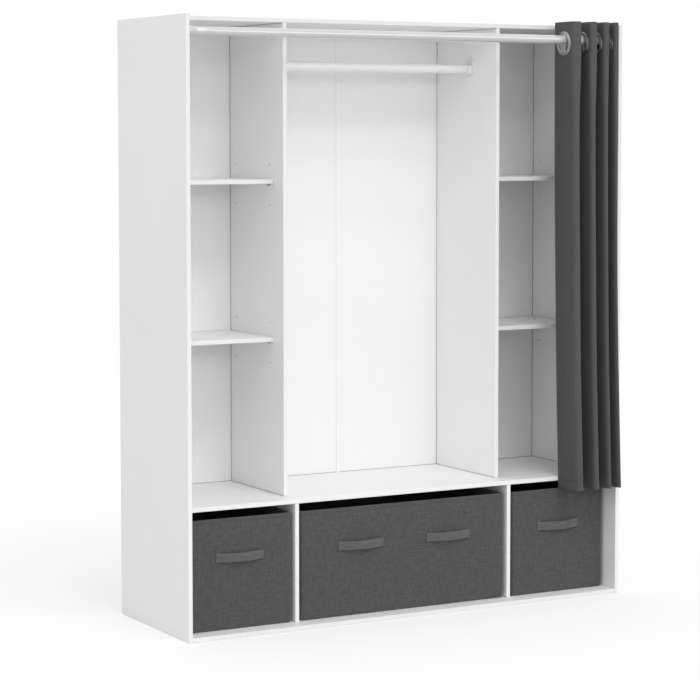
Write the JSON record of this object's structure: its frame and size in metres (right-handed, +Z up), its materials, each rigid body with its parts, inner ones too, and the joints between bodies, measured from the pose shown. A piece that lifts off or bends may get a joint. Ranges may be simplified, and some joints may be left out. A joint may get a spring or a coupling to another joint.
{
  "type": "curtain wardrobe",
  "caption": "Open board wardrobe with side shelves, a hanging space with a rail, pull-out fabric boxes below and an eyelet curtain gathered on a rod across the front.",
  "frame": {"origin": "on the floor, at the middle of the underside of the bottom panel", "axes": "+Z up; +Y from the open front to the back; +X to the right, seen from the front, towards the side where the curtain is gathered"},
  "size_m": [1.4, 0.4951, 1.6765],
  "materials": {
    "white_board": "smooth white melamine with a fine satin sheen",
    "white_hardboard": "white lacquered face, satin",
    "white_plastic": "satin white",
    "white_tube": "glossy white lacquer",
    "pin_zinc": "satin zinc",
    "box_linen": "dark grey linen-look weave",
    "strap_linen": "grey woven strap",
    "grey_board": "grey board under the lining",
    "curtain_grey": "dark grey woven cloth, matt",
    "satin_steel": "satin silver"
  },
  "bodies": {
    "carcass": {"side_panel_left": "white_board", "side_panel_right": "white_board", "bottom_panel": "white_board", "middle_shelf": "white_board", "top_panel": "white_board", "lower_divider_left": "white_board", "lower_divider_right": "white_board", "upper_divider_left": "white_board", "upper_divider_right": "white_board", "back_sheet_left": "white_hardboard", "back_sheet_right": "white_hardboard", "back_joint_strip": "white_plastic", "bay_shelf_left_lower": "white_board", "bay_shelf_left_upper": "white_board", "bay_shelf_right_lower": "white_board", "bay_shelf_right_upper": "white_board", "clothes_rail": "white_tube", "clothes_rail_socket_left": "white_plastic", "clothes_rail_socket_right": "white_plastic", "curtain_rod": "white_tube", "curtain_rod_socket_left": "white_plastic", "curtain_rod_socket_right": "white_plastic", "shelf_pin_left_lower_inner_front": "pin_zinc", "shelf_pin_left_lower_inner_rear": "pin_zinc", "shelf_pin_left_lower_outer_front": "pin_zinc", "shelf_pin_left_lower_outer_rear": "pin_zinc", "shelf_pin_left_upper_inner_front": "pin_zinc", "shelf_pin_left_upper_inner_rear": "pin_zinc", "shelf_pin_left_upper_outer_front": "pin_zinc", "shelf_pin_left_upper_outer_rear": "pin_zinc", "shelf_pin_right_lower_inner_front": "pin_zinc", "shelf_pin_right_lower_inner_rear": "pin_zinc", "shelf_pin_right_lower_outer_front": "pin_zinc", "shelf_pin_right_lower_outer_rear": "pin_zinc", "shelf_pin_right_upper_inner_front": "pin_zinc", "shelf_pin_right_upper_inner_rear": "pin_zinc", "shelf_pin_right_upper_outer_front": "pin_zinc", "shelf_pin_right_upper_outer_rear": "pin_zinc"},
    "box_left": {"box_left_shell": "box_linen", "box_left_base_board": "grey_board", "box_left_handle": "strap_linen"},
    "box_centre": {"box_centre_shell": "box_linen", "box_centre_base_board": "grey_board", "box_centre_handle_left": "strap_linen", "box_centre_handle_right": "strap_linen"},
    "box_right": {"box_right_shell": "box_linen", "box_right_base_board": "grey_board", "box_right_handle": "strap_linen"},
    "curtain_tail": {"curtain_eyelet_8": "satin_steel", "curtain_cloth": "curtain_grey"},
    "curtain_lead": {"curtain_eyelet_1": "satin_steel"},
    "eyelet_2": {"curtain_eyelet_2": "satin_steel"},
    "eyelet_3": {"curtain_eyelet_3": "satin_steel"},
    "eyelet_4": {"curtain_eyelet_4": "satin_steel"},
    "eyelet_5": {"curtain_eyelet_5": "satin_steel"},
    "eyelet_6": {"curtain_eyelet_6": "satin_steel"},
    "eyelet_7": {"curtain_eyelet_7": "satin_steel"}
  },
  "joints": [
    {"name": "curtain_slide", "type": "slide", "parent": "carcass", "child": "curtain_tail", "axis": [-1, 0, 0], "range_m": [0, 0.855]},
    {"name": "curtain_spread", "type": "slide", "parent": "curtain_tail", "child": "curtain_lead", "axis": [-1, 0, 0], "range_m": [0, 0.34], "deforming": ["curtain_cloth"]},
    {"name": "eyelet_2_slide", "type": "slide", "parent": "curtain_tail", "child": "eyelet_2", "axis": [-1, 0, 0], "range_m": [0, 0.3038]},
    {"name": "eyelet_3_slide", "type": "slide", "parent": "curtain_tail", "child": "eyelet_3", "axis": [-1, 0, 0], "range_m": [0, 0.2294]},
    {"name": "eyelet_4_slide", "type": "slide", "parent": "curtain_tail", "child": "eyelet_4", "axis": [-1, 0, 0], "range_m": [0, 0.1504]},
    {"name": "eyelet_5_slide", "type": "slide", "parent": "curtain_tail", "child": "eyelet_5", "axis": [-1, 0, 0], "range_m": [0, 0.0836]},
    {"name": "eyelet_6_slide", "type": "slide", "parent": "curtain_tail", "child": "eyelet_6", "axis": [-1, 0, 0], "range_m": [0, 0.0359]},
    {"name": "eyelet_7_slide", "type": "slide", "parent": "curtain_tail", "child": "eyelet_7", "axis": [-1, 0, 0], "range_m": [0, 0.0086]},
    {"name": "box_left_slide", "type": "slide", "parent": "carcass", "child": "box_left", "axis": [0, -1, 0], "range_m": [0, 0.3]},
    {"name": "box_centre_slide", "type": "slide", "parent": "carcass", "child": "box_centre", "axis": [0, -1, 0], "range_m": [0, 0.3]},
    {"name": "box_right_slide", "type": "slide", "parent": "carcass", "child": "box_right", "axis": [0, -1, 0], "range_m": [0, 0.3]}
  ],
  "couplings": [
    {"joint": "eyelet_2_slide", "follows": "curtain_spread", "ratio": 0.89317},
    {"joint": "eyelet_3_slide", "follows": "curtain_spread", "ratio": 0.6744},
    {"joint": "eyelet_4_slide", "follows": "curtain_spread", "ratio": 0.44211},
    {"joint": "eyelet_5_slide", "follows": "curtain_spread", "ratio": 0.24564},
    {"joint": "eyelet_6_slide", "follows": "curtain_spread", "ratio": 0.10529},
    {"joint": "eyelet_7_slide", "follows": "curtain_spread", "ratio": 0.024971}
  ]
}
